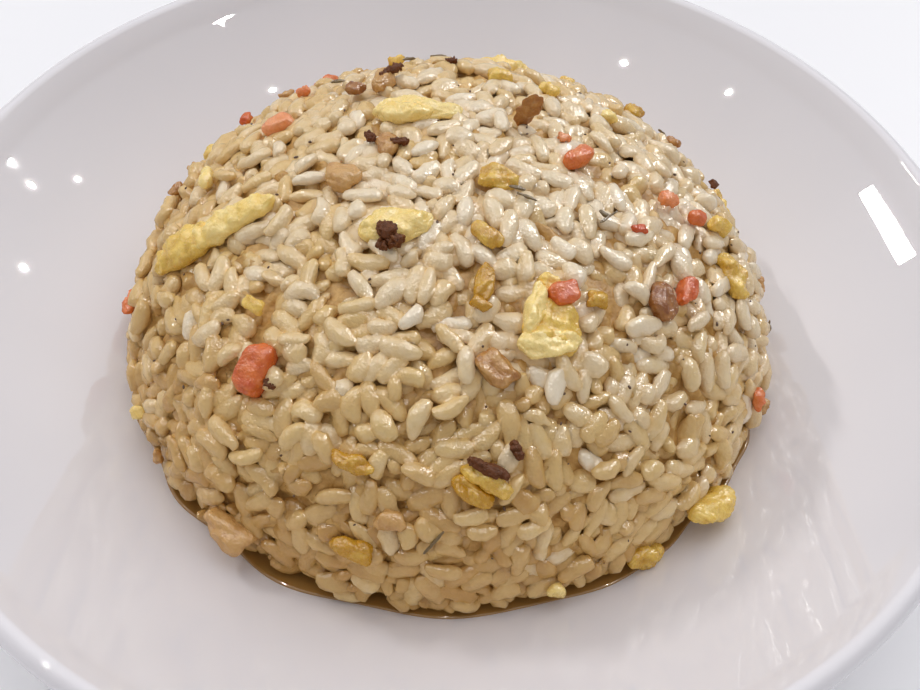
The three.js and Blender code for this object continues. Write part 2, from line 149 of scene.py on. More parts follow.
# The node tree of one material. Constants go onto the shader's own sockets.
class Recipe:
    def __init__(self, name, constants):
        self.material = bpy.data.materials.new(name)
        self.material.use_nodes = True
        self.tree = self.material.node_tree
        self.shader = self.tree.nodes["Principled BSDF"]
        for socket, value in constants.items():
            self.shader.inputs[socket].default_value = value
        self.place = self.node("ShaderNodeTexCoord", {}, {}, "Object")

    # Any node: its type, its settings, then the values or wires of its sockets.
    def node(self, kind, settings, sockets, output=0):
        made = self.tree.nodes.new(kind)
        for setting, value in settings.items():
            if setting == "stops":
                stops = made.color_ramp.elements
                while len(stops) < len(value):
                    stops.new(0.5)
                for stop, (position, colour) in zip(stops, value):
                    stop.position = position
                    stop.color = (*colour, 1)
            else:
                setattr(made, setting, value)
        for socket, value in sockets.items():
            self.feed(made.inputs[socket], value)
        return Wire(self, made.outputs[output])

    def feed(self, socket, value):
        if isinstance(value, Wire):
            self.tree.links.new(value.socket, socket)
        else:
            socket.default_value = value

    def set(self, socket, value):
        self.feed(self.shader.inputs[socket], value)

    # Noise from 0 to 1, its features a given number of millimetres apart.
    def noise(self, size, detail=2.0, roughness=0.5):
        grit = {"Scale": 1 / (size * mm), "Detail": detail, "Roughness": roughness}
        return self.node("ShaderNodeTexNoise", {}, {"Vector": self.place, **grit})

    def mark(self, name):
        return self.node("ShaderNodeAttribute", {"attribute_name": name}, {}, "Fac")

    # A value brought from between low and high to between 0 and 1, softly.
    def between(self, value, low, high):
        sockets = {"Value": value, "From Min": low, "From Max": high}
        return self.node("ShaderNodeMapRange", {"interpolation_type": "SMOOTHSTEP"}, sockets)

    def ramp(self, value, stops):
        return self.node("ShaderNodeValToRGB", {"stops": stops}, {0: value})

    def blend(self, amount, first, second):
        first, second = [value if isinstance(value, Wire) else (*value, 1) for value in (first, second)]
        return self.node("ShaderNodeMix", {"data_type": "RGBA"}, {0: amount, 6: first, 7: second}, 2)

    # Bump of a given height in millimetres.
    def relief(self, height, value, under=None):
        sockets = {"Strength": 1.0, "Distance": height * mm, "Height": value}
        if under is not None:
            sockets["Normal"] = under
        return self.node("ShaderNodeBump", {}, sockets)


# Each row of rings is its first radius, its last and how many. The foot ring's edges are
# ways out from its inner and outer radius, with their heights.
porcelain = {
    "lipHeight": 34.0,
    "lipCrestRadius": 98.8,
    "lipRound": 2.1,
    "lipRings": 15,
    "wellHeight": 8.5,
    "wellRadius": 48.0,
    "wellRings": (44.0, 0.0, 9),
    "wallCurve": 1.7,
    "wallRings": (57.0, 93.5, 26),  # on its underside
    "faceRings": (94.5, 48.0, 34),
    "footRecess": 4.0,
    "recessRadius": 20.0,
    "footInner": 47.5,
    "footInnerEdge": ((-1.6, 4.0), (-0.9, 3.7), (-0.3, 0.6), (0.1, 0.12), (0.6, 0.0)),
    "footOuter": 51.5,
    "footOuterEdge": ((-0.6, 0.0), (-0.1, 0.15), (0.1, 0.7), (0.5, 3.6), (1.1, 4.6), (2.6, 5.1)),
    "sides": 160,
    "colour": (0.80, 0.775, 0.80),
    "cloudShade": 0.965,  # the glaze's darker clouds
    "cloudSize": 38,
    "gloss": 0.01,
    "waviness": 0.03,  # how deep the glaze's slow waves are
    "waveSize": 24,
}


# Height of the inner face: level in the well, then rising as a power of the way out.
def innerFace(radius):
    well, height = porcelain["wellRadius"], porcelain["wellHeight"]
    out = np.maximum(0, radius - well) / (porcelain["lipCrestRadius"] - well)
    return height + (porcelain["lipHeight"] - height) * out ** porcelain["wallCurve"]


def innerSlope(radius):
    step = 0.01
    return np.arctan((innerFace(radius + step) - innerFace(radius - step)) / (2 * step))


def porcelainMaterial():
    recipe = Recipe("porcelainGlaze", {"Coat Weight": 0.5, "Coat Roughness": 0.0, "IOR": 1.52})
    cloud = recipe.noise(porcelain["cloudSize"], 1.5)
    low, high = [
        tuple(channel * shade for channel in porcelain["colour"]) for shade in (porcelain["cloudShade"], 1.0)
    ]
    recipe.set("Base Color", recipe.blend(recipe.between(cloud, 0.3, 0.7), low, high))
    recipe.set("Roughness", porcelain["gloss"] + 0.01 * recipe.noise(9, 3))
    recipe.set("Normal", recipe.relief(porcelain["waviness"], recipe.noise(porcelain["waveSize"], 1.0)))
    return recipe.material


# The wall keeps twice the lip's round as its thickness, so the lip runs into both faces.
def makePlate():
    crest, lip = porcelain["lipCrestRadius"], porcelain["lipRound"]
    inner, outer, recess = porcelain["footInner"], porcelain["footOuter"], porcelain["footRecess"]
    foot = [(0, recess), (porcelain["recessRadius"], recess)]
    foot += [(inner + out, height) for out, height in porcelain["footInnerEdge"]]
    foot += [(outer + out, height) for out, height in porcelain["footOuterEdge"]]
    wall = np.linspace(*porcelain["wallRings"])
    slope = innerSlope(wall)
    under = np.stack([wall + 2 * lip * np.sin(slope), innerFace(wall) - 2 * lip * np.cos(slope)], -1)
    turn = innerSlope(crest - lip) - np.pi / 2 + np.pi * np.linspace(0, 1, porcelain["lipRings"])
    roll = np.stack([crest + lip * np.cos(turn), porcelain["lipHeight"] - lip + lip * np.sin(turn)], -1)
    face = np.linspace(*porcelain["faceRings"])
    inside = np.stack([face, innerFace(face)], -1)
    level = np.linspace(*porcelain["wellRings"])
    well = np.stack([level, np.full(len(level), porcelain["wellHeight"])], -1)
    profile = np.concatenate([foot, under, roll, inside, well])
    piece = buildTurned("coupe_plate", profile, porcelain["sides"], porcelainMaterial())
    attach(piece, "root")
    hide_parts("plate")
    print("plate turned")


# The heap: the middle and the radius of its belly, its rise above that and its tuck below.
heap = {"centre": (1.4, 1.0, 13.6), "radius": 62.6, "rise": 45.0, "tuck": 9.0}
heapCentre = np.array(heap["centre"])
crownRadii = np.array([heap["radius"], heap["radius"], heap["rise"]])


# The outline is half an ellipsoid above its belly and a flatter one that tucks in below.
def outlineRadii(points):
    radii = np.full(points.shape, heap["radius"])
    radii[..., 2] = np.where(points[..., 2] < heap["centre"][2], heap["tuck"], heap["rise"])
    return radii


# Height over the outline and the outward direction: f (f - 1) / |gradient of f|, where f
# is the length of the offset from the centre measured in radii.
def overOutline(points):
    offset = points - heapCentre
    radii = outlineRadii(points)
    share = np.linalg.norm(offset / radii, axis=-1)
    slope = offset / radii**2
    steep = np.linalg.norm(slope, axis=-1)
    return share * (share - 1) / steep, slope / steep[..., None]


# Places on the outline: azimuth and latitude in degrees give the point, its east, its way
# uphill and its outward normal.
def heapPlace(azimuth, latitude):
    azimuth, latitude = np.radians(azimuth), np.radians(latitude)
    level = np.cos(latitude)
    ball = np.stack([level * np.cos(azimuth), level * np.sin(azimuth), np.sin(latitude)], -1)
    east = np.stack([-np.sin(azimuth), np.cos(azimuth), np.zeros_like(azimuth)], -1)
    normal = unit(ball / crownRadii)
    return ball * crownRadii + heapCentre, east, np.cross(normal, east), normal


# The azimuth and latitude of an offset from the heap's centre that is measured in its radii.
def anglesOf(ball):
    return np.degrees(np.arctan2(ball[1], ball[0])), np.degrees(np.arcsin(ball[2]))


# Points x along and y across a turned place are bent down onto the outline by going
# straight to the ellipsoid's centre, then raised by z along the outline's normal.
def onHeap(lie, local):
    azimuth, latitude, turn = lie
    point, east, uphill, _ = heapPlace(azimuth, latitude)
    turn = np.radians(turn)
    along = np.cos(turn) * east + np.sin(turn) * uphill
    across = np.cos(turn) * uphill - np.sin(turn) * east
    flat = point + local[..., :1] * along + local[..., 1:2] * across
    ball = unit((flat - heapCentre) / crownRadii)
    return ball * crownRadii + heapCentre + local[..., 2:] * unit(ball / crownRadii)


# A topping's place, read from its CAD node: its azimuth and latitude, the turn of its
# longest way over the heap, its length, width and thickness, and its lift over the outline.
def nodePlace(node):
    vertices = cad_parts[node].data.vertices
    points = np.zeros(3 * len(vertices))
    vertices.foreach_get("co", points)
    points = points.reshape(-1, 3) / mm
    azimuth, latitude = anglesOf(unit((points.mean(0) - heapCentre) / crownRadii))
    point, east, uphill, _ = heapPlace(azimuth, latitude)
    flat = np.stack([(points - point) @ east, (points - point) @ uphill], -1)
    longest = np.linalg.eigh(np.cov(flat.T))[1][:, 1]
    longest = longest * np.sign(longest[0])
    across = np.array([-longest[1], longest[0]])
    height, _ = overOutline(points)
    size = (np.ptp(flat @ longest), np.ptp(flat @ across), np.ptp(height))
    turn = np.degrees(np.arctan2(longest[1], longest[0]))
    return (azimuth, latitude, turn), size, (height.max() + height.min()) / 2


# One lump of a topping. Its shares are of the node's length, width and thickness, and it is
# moved along and across the node and turned from it, in millimetres and degrees. Its tint
# runs from the look's first colour (0) to its last (1).
def lump(tint, shares=(1, 0.9, 1), move=(0, 0), turn=0, lift=0, taper=0):
    return {"tint": tint, "shares": shares, "move": move, "turn": turn, "lift": lift, "taper": taper}


eggPieces = {
    "egg_crown": [
        lump(0.95, (1, 0.9, 0.9), taper=0.1),
        lump(0.85, (0.6, 0.6, 0.8), (1.4, 1.8), -8, 0.8),
    ],
    "egg_charred_top": [lump(0.85, taper=0.1)],
    "egg_strip": [
        lump(0.45, (0.66, 1, 1), (-5.2, 0.4), -9),
        lump(0.75, (0.54, 0.72, 1), (6.6, -0.4), 9, 0.6),
    ],
    "egg_fold": [
        lump(0.45, (0.72, 0.88, 0.85), (-0.6, -0.4), 26),
        lump(0.6, (0.5, 0.44, 0.7), (5.2, 1.0), 46),
        lump(1.0, (0.72, 0.28, 0.65), (0.4, 3.2), 2, 1),
        lump(1.0, (0.72, 0.48, 0.8), (-3.4, -0.8), -62, 0.6, -0.15),
    ],
    "egg_wedge": [lump(0.3, taper=-0.45)],
    "egg_sliver": [lump(0.05)],
    "egg_right_shoulder": [lump(0.35)],
    "egg_front_left": [lump(0.08, (1, 0.8, 1), taper=0.2)],
    "egg_charred_front": [
        lump(0.35, (0.86, 0.56, 0.9), (0, 1.3)),
        lump(0.1, (0.76, 0.58, 0.85), (-0.8, -1.5)),
    ],
    "egg_front_low": [lump(0.05, taper=0.2)],
    "egg_skirt_right": [lump(0.5)],
    "egg_foot_right": [lump(0.3)],
    "egg_back": [lump(0.7, taper=0.2)],
    "egg_back_low": [lump(0.4, taper=-0.2)],
}
carrotPieces = {
    "carrot_chunk": [lump(0.35, taper=0.25)],
    "carrot_left_shoulder": [lump(0.9)],
    "carrot_top": [lump(0.5, taper=0.3)],
    "carrot_on_egg": [lump(0.3, (1, 1, 1))],
    "carrot_right": [lump(0.3, taper=0.2)],
    "carrot_back": [lump(0.6)],
}
meatPieces = {
    "meat_flake": [lump(0.45, (0.9, 0.7, 1.0))],
    "meat_oval": [lump(0.2, lift=0.3)],
    "meat_tan_top": [lump(0.95, (1, 1, 1))],
    "meat_foot_left": [lump(0.9, taper=0.2)],
    "meat_middle": [lump(0.66, (1, 1, 1))],
    "meat_edged_top": [lump(0.7, (1, 1, 1))],
    "meat_strip_back": [lump(0.8, (1, 1, 1), taper=0.3)],
    "meat_back": [lump(0.6, (1, 1, 1))],
}


# The lumps of a topping as places on the heap with real sizes.
def lumpsOf(node, lumps):
    lie, size, lift = nodePlace(node)
    return [
        {**one, "lie": lie, "size": tuple(np.array(size) * one["shares"]), "lift": lift + one["lift"]}
        for one in lumps
    ]


# Bits chosen one by one: how far right of and behind a topping's middle each lies, its
# turn, its length, width and thickness, its lift and its tint.
besideToppings = {
    "charred_bits": [
        ("egg_charred_top", (-0.6, -2.8), 10, (3.6, 2.6, 2.4), 2.2, 0.3),
        ("egg_charred_top", (0.6, -4.4), 60, (2.8, 1.8, 2.0), 1.4, 0.4),
        ("egg_charred_top", (-1.6, -5.0), -30, (2.2, 1.4, 1.6), 1.6, 0.2),
        ("egg_charred_front", (0.8, 2.2), -30, (6.8, 1.8, 2.2), 1.1, 0.1),
        ("egg_charred_front", (5.2, 4.6), -76, (3.6, 1.8, 1.0), 0.1, 0.0),
        ("meat_edged_top", (2.0, -0.8), -70, (2.8, 1.2, 1.2), 0.8, 0.1),
        ("meat_edged_top", (-3.2, 1.6), 40, (2.8, 1.6, 1.2), 0.5, 0.0),
        ("meat_strip_back", (1.4, 1.6), 24, (6.0, 1.4, 1.6), 1.6, 0.3),
        ("carrot_chunk", (2.8, -2.6), -20, (2.6, 1.4, 1.0), 0.2, 0.0),
    ],
    "carrot_bits": [
        ("carrot_right", (-2.6, 18.0), -80, (3.7, 2.4, 2.2), 0.2, 0.7),
        ("carrot_right", (3.0, 17.0), -78, (4.0, 2.6, 2.4), 0.2, 0.4),
        ("carrot_right", (-9.0, 7.6), -65, (3.2, 1.5, 1.4), 0.5, 0.0),
        ("carrot_top", (-2.6, 3.6), 60, (2.8, 1.6, 1.4), 0.3, 0.9),
    ],
    "egg_bits": [
        ("egg_sliver", (0.4, 8.4), -50, (6.4, 2.8, 2.6), 0.1, 0.2),
        ("egg_sliver", (-0.6, -3.6), -40, (3.6, 2.4, 2.2), 0.2, 0.0),
        ("carrot_on_egg", (6.2, 0.6), -48, (3.6, 2.8, 2.4), 0.2, 0.1),
        ("egg_right_shoulder", (-2.0, 9.6), -83, (5.0, 3.0, 2.8), 0.0, 0.4),
        ("egg_strip", (-1.6, 16.0), 20, (6.4, 2.6, 2.6), 0.0, 0.9),
        ("carrot_chunk", (-0.6, 10.0), 15, (4.0, 2.4, 2.2), 0.2, 0.5),
    ],
    "meat_bits": [
        ("meat_strip_back", (-0.6, 0.4), 48, (6.0, 3.2, 2.6), 0.5, 0.9),
        ("meat_strip_back", (-5.2, -2.4), -69, (4.6, 2.6, 2.2), 0.4, 0.3),
        ("egg_charred_front", (-14.6, -3.4), -16, (5.0, 3.2, 2.6), -0.2, 0.9),
    ],
    "herb_shreds": [
        ("egg_wedge", (4.4, -4.4), -76, (3.8, 0.6, 0.5), 0.5, 0.5),
        ("egg_wedge", (2.8, -2.6), -65, (2.9, 0.8, 0.6), 0.4, 0.4),
        ("carrot_right", (-14.6, 8.0), -24, (4.8, 0.5, 0.5), 0.5, 0.3),
        ("carrot_right", (-15.0, 8.6), 88, (2.4, 0.8, 0.6), 0.4, 0.2),
        ("egg_charred_front", (-7.6, -5.4), 54, (4.6, 0.5, 0.5), 0.5, 0.0),
    ],
}

# More of the same bits, strewn over the back and low down all round: how many, the least
# and the most of their length, width and thickness, their tints, and their lift.
strewn = {
    "egg_bits": (12, (3.0, 2.0, 1.8), (5.4, 3.2, 2.8), (0.2, 0.8), 0.0),
    "carrot_bits": (5, (2.8, 2.0, 1.8), (4.8, 2.8, 2.4), (0.3, 0.9), 0.1),
    "meat_bits": (9, (2.6, 1.8, 1.6), (4.8, 3.0, 2.4), (0.5, 0.9), 0.0),
    "charred_bits": (4, (2.0, 1.2, 1.0), (2.8, 1.6, 1.2), (0.0, 0.3), 0.2),
    "herb_shreds": (6, (2.6, 0.5, 0.5), (3.8, 0.8, 0.6), (0.1, 0.7), 0.4),
}
strewing = {
    "seed": 53,
    "tries": 60,  # spots drawn for each bit that is wanted
    "lowest": 0.04,  # as a height on a ball of radius 1
    "apart": 7.0,  # from each other and from every topping's middle
    "behind": 18.0,  # a spot lies further back than this,
    "below": 24.0,  # or lower than this
    "taper": 0.2,
}


# The outline's azimuth and latitude a way right of and behind a topping's middle.
def spotBeside(node, right, behind):
    (azimuth, latitude, _), _, _ = nodePlace(node)
    point, _, _, _ = heapPlace(azimuth, latitude)
    flat = (point[:2] + np.array([right, behind]) - heapCentre[:2]) / heap["radius"]
    return np.degrees(np.arctan2(flat[1], flat[0])), np.degrees(np.arccos(min(np.hypot(*flat), 1)))


# A small bit, written as the lump of a topping is.
def bitAt(lie, size, lift, tint, taper=0):
    return {"lie": lie, "size": size, "lift": lift, "tint": tint, "taper": taper, "move": (0, 0), "turn": 0}


# All small bits by kind: the chosen ones, then the strewn ones where there is room.
def layBits():
    draw = np.random.default_rng(strewing["seed"])
    taken = [heapPlace(*nodePlace(node)[0][:2])[0] for node in (*eggPieces, *carrotPieces, *meatPieces)]
    bits = {}
    for name, rows in besideToppings.items():
        bits[name] = [
            bitAt((*spotBeside(node, *away), turn), size, lift, tint)
            for node, away, turn, size, lift, tint in rows
        ]
        taken += [heapPlace(*bit["lie"][:2])[0] for bit in bits[name]]
    for name, (count, least, most, tints, lift) in strewn.items():
        spots = scatterOnOutline(draw, strewing["tries"] * count, strewing["lowest"])
        spots = spots[(spots[:, 1] > strewing["behind"]) | (spots[:, 2] < strewing["below"])]
        wanted = len(bits[name]) + count
        for spot in spots:
            if len(bits[name]) == wanted:
                break
            if np.linalg.norm(np.array(taken) - spot, axis=1).min() < strewing["apart"]:
                continue
            taken.append(spot)
            lie = (*anglesOf((spot - heapCentre) / crownRadii), draw.uniform(0, 180))
            size = tuple(np.array(least) + draw.uniform() * (np.array(most) - np.array(least)))
            tint, taper = draw.uniform(*tints), draw.uniform(-strewing["taper"], strewing["taper"])
            bits[name].append(bitAt(lie, size, lift, tint, taper))
    return bits


# A ball's rings with x as its axis: (cos a, sin a cos b, sin a sin b) for a from tip to tip.
def ballRings(rings, sides):
    a = np.pi * (np.arange(rings) + 1) / (rings + 1)
    b = 2 * np.pi * np.arange(sides) / sides
    x = np.repeat(-np.cos(a)[:, None], sides, 1)
    return np.stack([x, np.sin(a)[:, None] * np.cos(b), np.sin(a)[:, None] * np.sin(b)], -1)


# Points of a lump turned and moved as it lies in its topping, then laid on the heap.
def laidOnHeap(one, local):
    turn = np.radians(one["turn"])
    x = np.cos(turn) * local[:, 0] - np.sin(turn) * local[:, 1] + one["move"][0]
    y = np.sin(turn) * local[:, 0] + np.cos(turn) * local[:, 1] + one["move"][1]
    return onHeap(one["lie"], np.stack([x, y, local[:, 2] + one["lift"]], -1))


# A lump: a ball squared off by its corner power, tapered and swelled by slow waves; creases
# of exp(-(wave / sharpness)^2) run where a slow wave crosses zero, and pores are fine waves.
# The grain of the lump stretches both along its length.
def lumpPoints(one, look, seed):
    size, taper = one["size"], one["taper"]
    length = size[0]
    creaseSharpness = 0.3
    pushShares = np.array([0.4, 0.5, 1])  # the fine waves move the top more than the ends
    rings, sides = look["grid"]
    ball = ballRings(rings, sides)
    ball = np.concatenate([ball.reshape(-1, 3), [[-1, 0, 0], [1, 0, 0]]])
    shape = np.sign(ball) * np.abs(ball) ** look["corner"]
    span = np.array(size) / 2
    swell = 1 + look["swell"] * ripples(ball * span, 0.55 * length, seed)
    outline = 1 + look["outline"] * ripples(ball * np.array([1, 1, 0.2]) * span, 0.7 * length, seed + 1)
    local = shape * span * swell[:, None]
    local[:, 1] *= 1 + taper * ball[:, 0]
    local[:, :2] *= outline[:, None]
    drawn = local / np.array([look["grain"], 1, 1])
    crease = np.exp(-((ripples(drawn, look["creaseLength"], seed + 2, 7) / creaseSharpness) ** 2))
    hump = ripples(drawn, look["creaseLength"] * 0.8, seed + 4, 7)
    pores = ripples(drawn, look["poreLength"], seed + 3, 12)
    push = look["hump"] * hump - look["crease"] * crease + look["pore"] * pores
    local += unit(ball / span) * push[:, None] * pushShares
    local[:, 0] += look["slant"] * local[:, 2]
    local[:, 1] += look["nod"] * local[:, 2]
    return laidOnHeap(one, local)


def lumpPiece(name, node, lumps, look, seed, material):
    rings, sides = look["grid"]
    points = np.stack([lumpPoints(one, look, seed + order) for order, one in enumerate(lumps)])
    tint = np.repeat(np.array([one["tint"] for one in lumps])[:, None], points.shape[1], 1)
    ring, tips = points[:, :-2].reshape(-1, rings, sides, 3), points[:, -2:]
    piece = buildShells(name, ring, tips, material, {"tint": tint})
    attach(piece, "root")
    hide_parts(node)


# How a kind is shaped: rings and sides, corner power, and how much each wave moves the skin
# in shares (swell, outline) or millimetres, with the lengths of the finer ones. Slant and
# nod lean a lump along and across. Then its colours, from the lowest tint to the highest.
plainLook = {"grain": 1.0, "poreLength": 0.8, "slant": 0.0, "nod": 0.0}
eggLook = {
    **plainLook,
    "grid": (56, 60),
    "corner": 0.88,
    "swell": 0.06,
    "outline": 0.08,
    "grain": 1.2,
    "hump": 0.26,
    "crease": 0.22,
    "creaseLength": 3.4,
    "pore": 0.06,
    "poreLength": 0.9,
    "golden": (0.54, 0.27, 0.012),
    "yellow": (0.86, 0.58, 0.11),
    "lemon": (0.95, 0.73, 0.27),
}
carrotLook = {
    **plainLook,
    "grid": (36, 40),
    "corner": 0.62,
    "swell": 0.05,
    "outline": 0.05,
    "hump": 0.12,
    "crease": 0.10,
    "creaseLength": 3.0,
    "pore": 0.03,
    "red": (0.56, 0.075, 0.010),
    "orange": (0.72, 0.165, 0.025),
    "pink": (0.84, 0.32, 0.12),
}
meatLook = {
    **plainLook,
    "grid": (40, 44),
    "corner": 0.75,
    "swell": 0.08,
    "outline": 0.08,
    "grain": 2.2,
    "hump": 0.16,
    "crease": 0.22,
    "creaseLength": 2.4,
    "pore": 0.05,
    "brown": (0.25, 0.075, 0.010),
    "russet": (0.42, 0.18, 0.04),
    "tan": (0.62, 0.35, 0.115),
}
flakeLook = {
    **meatLook,
    "corner": 1.25,
    "hump": 0.04,
    "crease": 0.10,
    "outline": 0.04,
    "slant": -0.1,
    "nod": 0.35,
}
bitLook = {
    **plainLook,
    "grid": (14, 16),
    "corner": 0.8,
    "swell": 0.1,
    "outline": 0.1,
    "hump": 0.12,
    "crease": 0.0,
    "creaseLength": 1.5,
    "pore": 0.03,
    "poreLength": 0.7,
}
shredLook = {
    **bitLook,
    "hump": 0.06,
    "outline": 0.02,
    "pore": 0.0,
    "bark": (0.16, 0.10, 0.03),
    "straw": (0.40, 0.31, 0.12),
}
charLook = {
    **bitLook,
    "grid": (22, 24),
    "hump": 0.22,
    "creaseLength": 0.9,
    "coal": (0.14, 0.04, 0.008),
    "rust": (0.40, 0.15, 0.035),
}


# A fried morsel: three colours by tint and a patchy cloud, under a fine uneven skin. The
# lower its gloss number, the wetter it looks; shine is how bright its highlights are.
def morsel(name, colours, subsurface, patchSize, patchShare, gloss, shine=0.6):
    flesh = {"Subsurface Weight": subsurface, "Subsurface Scale": 0.001}
    flesh["Subsurface Radius"] = (1.0, 0.6, 0.3)
    recipe = Recipe(name, {**flesh, "Specular IOR Level": shine})
    recipe.shader.subsurface_method = "BURLEY"
    patch = recipe.noise(patchSize, 3, 0.55)
    place = recipe.mark("tint") + patchShare * (patch - 0.5)
    fine = recipe.noise(0.5, 2, 0.6)  # of the skin
    recipe.set("Base Color", recipe.ramp(place, list(zip((0.1, 0.5, 0.9), colours))))
    recipe.set("Roughness", gloss + 0.2 * fine)
    recipe.set("Normal", recipe.relief(0.2, fine, recipe.relief(0.25, patch)))
    return recipe.material


def eggMaterial():
    colours = eggLook["golden"], eggLook["yellow"], eggLook["lemon"]
    return morsel("friedEgg", colours, 0.3, 2.6, 1.1, 0.16)


def carrotMaterial():
    colours = carrotLook["red"], carrotLook["orange"], carrotLook["pink"]
    return morsel("friedCarrot", colours, 0.3, 2.4, 1.0, 0.12)


def meatMaterial():
    colours = meatLook["brown"], meatLook["russet"], meatLook["tan"]
    return morsel("friedMeat", colours, 0.15, 1.8, 1.2, 0.12)


def charredMaterial():
    colours = charLook["coal"], charLook["coal"], charLook["rust"]
    return morsel("charredSkin", colours, 0.0, 1.0, 1.6, 0.4, 0.2)


def herbMaterial():
    colours = shredLook["bark"], shredLook["bark"], shredLook["straw"]
    return morsel("herbShred", colours, 0.0, 1.5, 0.8, 0.2)


def makeToppings(bits):
    egg, carrot, meat = eggMaterial(), carrotMaterial(), meatMaterial()
    for look, pieces, material, slotName, seed in (
        (eggLook, eggPieces, egg, "egg", 100),
        (carrotLook, carrotPieces, carrot, "carrot", 200),
        (meatLook, meatPieces, meat, "meat", 300),
    ):
        for order, (node, lumps) in enumerate(pieces.items()):
            shape = flakeLook if node == "meat_flake" else look
            lumpPiece(node + "_look", node, lumpsOf(node, lumps), shape, seed + 7 * order, material)
    charred, herb = charredMaterial(), herbMaterial()
    for name, look, material, slotName, seed in (
        ("egg_bits", bitLook, egg, "egg", 400),
        ("carrot_bits", bitLook, carrot, "carrot", 420),
        ("meat_bits", bitLook, meat, "meat", 440),
        ("charred_bits", charLook, charred, "meat", 460),
        ("herb_shreds", shredLook, herb, "meat", 480),
    ):
        lumpPiece(name, "rice_heap", bits[name], look, seed, material)
    print("toppings laid")


specks = {
    "seed": 77,
    "count": 170,
    "lowest": -0.3,  # as a height on a ball of radius 1
    "height": (-1.5, -0.5),  # over the heap's outline
    "size": (0.25, 0.55),
    "stretch": (1, 2),
    "colour": (0.10, 0.045, 0.015),
}


# Dark pepper-like specks all over the heap: little balls at random places on the outline.
def makeSpecks():
    draw = np.random.default_rng(specks["seed"])
    spots = scatterOnOutline(draw, specks["count"], specks["lowest"])
    _, outward = overOutline(spots)
    count = len(spots)
    spots = spots + outward * draw.uniform(*specks["height"], (count, 1))
    across = unit(np.cross(outward, draw.normal(size=(count, 3))))
    ball = ballRings(3, 6)
    size = draw.uniform(*specks["size"], (count, 1, 1, 1)) / 2
    longWay = across * draw.uniform(*specks["stretch"], (count, 1))
    axes = np.stack([longWay, np.cross(outward, across), outward], 1)
    ring = spots[:, None, None] + size * np.einsum("rsk,nkc->nrsc", ball, axes)
    tips = spots[:, None] + size[:, 0] * np.array([-1.0, 1.0])[None, :, None] * axes[:, None, 0]
    recipe = Recipe("peppery", {"Base Color": (*specks["colour"], 1), "Roughness": 0.35})
    piece = buildShells("pepper_specks", ring, tips, recipe.material)
    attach(piece, "root")
    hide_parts("rice_heap")
    print(count, "specks")


oil = {
    "inner": 56.0,
    "reach": 61.6,
    "frontMore": 0.9,  # how much further it reaches towards the front,
    "front": -115,  # which is this azimuth
    "waver": 0.5,
    "waverLength": 14,  # as measured at this radius
    "waverRadius": 60,
    # its section: each point's way out from the inner edge (0) to the outer (1), and its
    # height over the dish, along the top and back below the dish's face
    "section": (
        (0.0, 0.3), (0.5, 0.3), (0.9, 0.25), (1.0, 0.08),
        (1.0, -0.08), (0.9, -0.2), (0.5, -0.2), (0.0, -0.2),
    ),
    "around": 240,
    # partly painted shadow: dark brown for run-out oil and for the heap's contact shadow on the dish
    "colour": (0.36, 0.19, 0.05),
}


# The oil that has run out at the heap's foot, with the heap's contact shadow painted into it: a thin ring
# lying on the dish, whose outer edge goes further out towards the front and wavers.
def makeOilAndShadow():
    around, inner = oil["around"], oil["inner"]
    angle = 2 * np.pi * np.arange(around) / around
    way = np.stack([np.cos(angle), np.sin(angle), np.zeros(around)], -1)
    edge = oil["reach"] + oil["frontMore"] * np.cos(angle - np.radians(oil["front"]))
    edge = edge + oil["waver"] * ripples(way * oil["waverRadius"], oil["waverLength"], 9, 10)
    centre = np.array([heap["centre"][0], heap["centre"][1], 0])
    rows = []
    for share, height in oil["section"]:
        spots = centre + way * (inner + share * (edge - inner))[:, None]
        spots[:, 2] = innerFace(np.hypot(spots[:, 0], spots[:, 1])) + height
        rows.append(spots)
    loop = np.stack(rows)
    rowCount = len(rows)
    at = np.arange(rowCount)[:, None] * around + np.arange(around)
    on = np.arange(rowCount)[:, None] * around + np.roll(np.arange(around), -1)
    quads = np.stack([at, np.roll(at, -1, 0), np.roll(on, -1, 0), on], -1).reshape(-1, 4)
    finish = {"Base Color": (*oil["colour"], 1), "Specular IOR Level": 0.7, "Roughness": 0.08}
    recipe = Recipe("runOilAndShadow", finish)
    piece = buildMesh("oil_and_shadow_ring", loop.reshape(-1, 3), quads, np.zeros((0, 3), int), recipe.material)
    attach(piece, "root")
    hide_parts("rice_heap")
    print("oil run out")


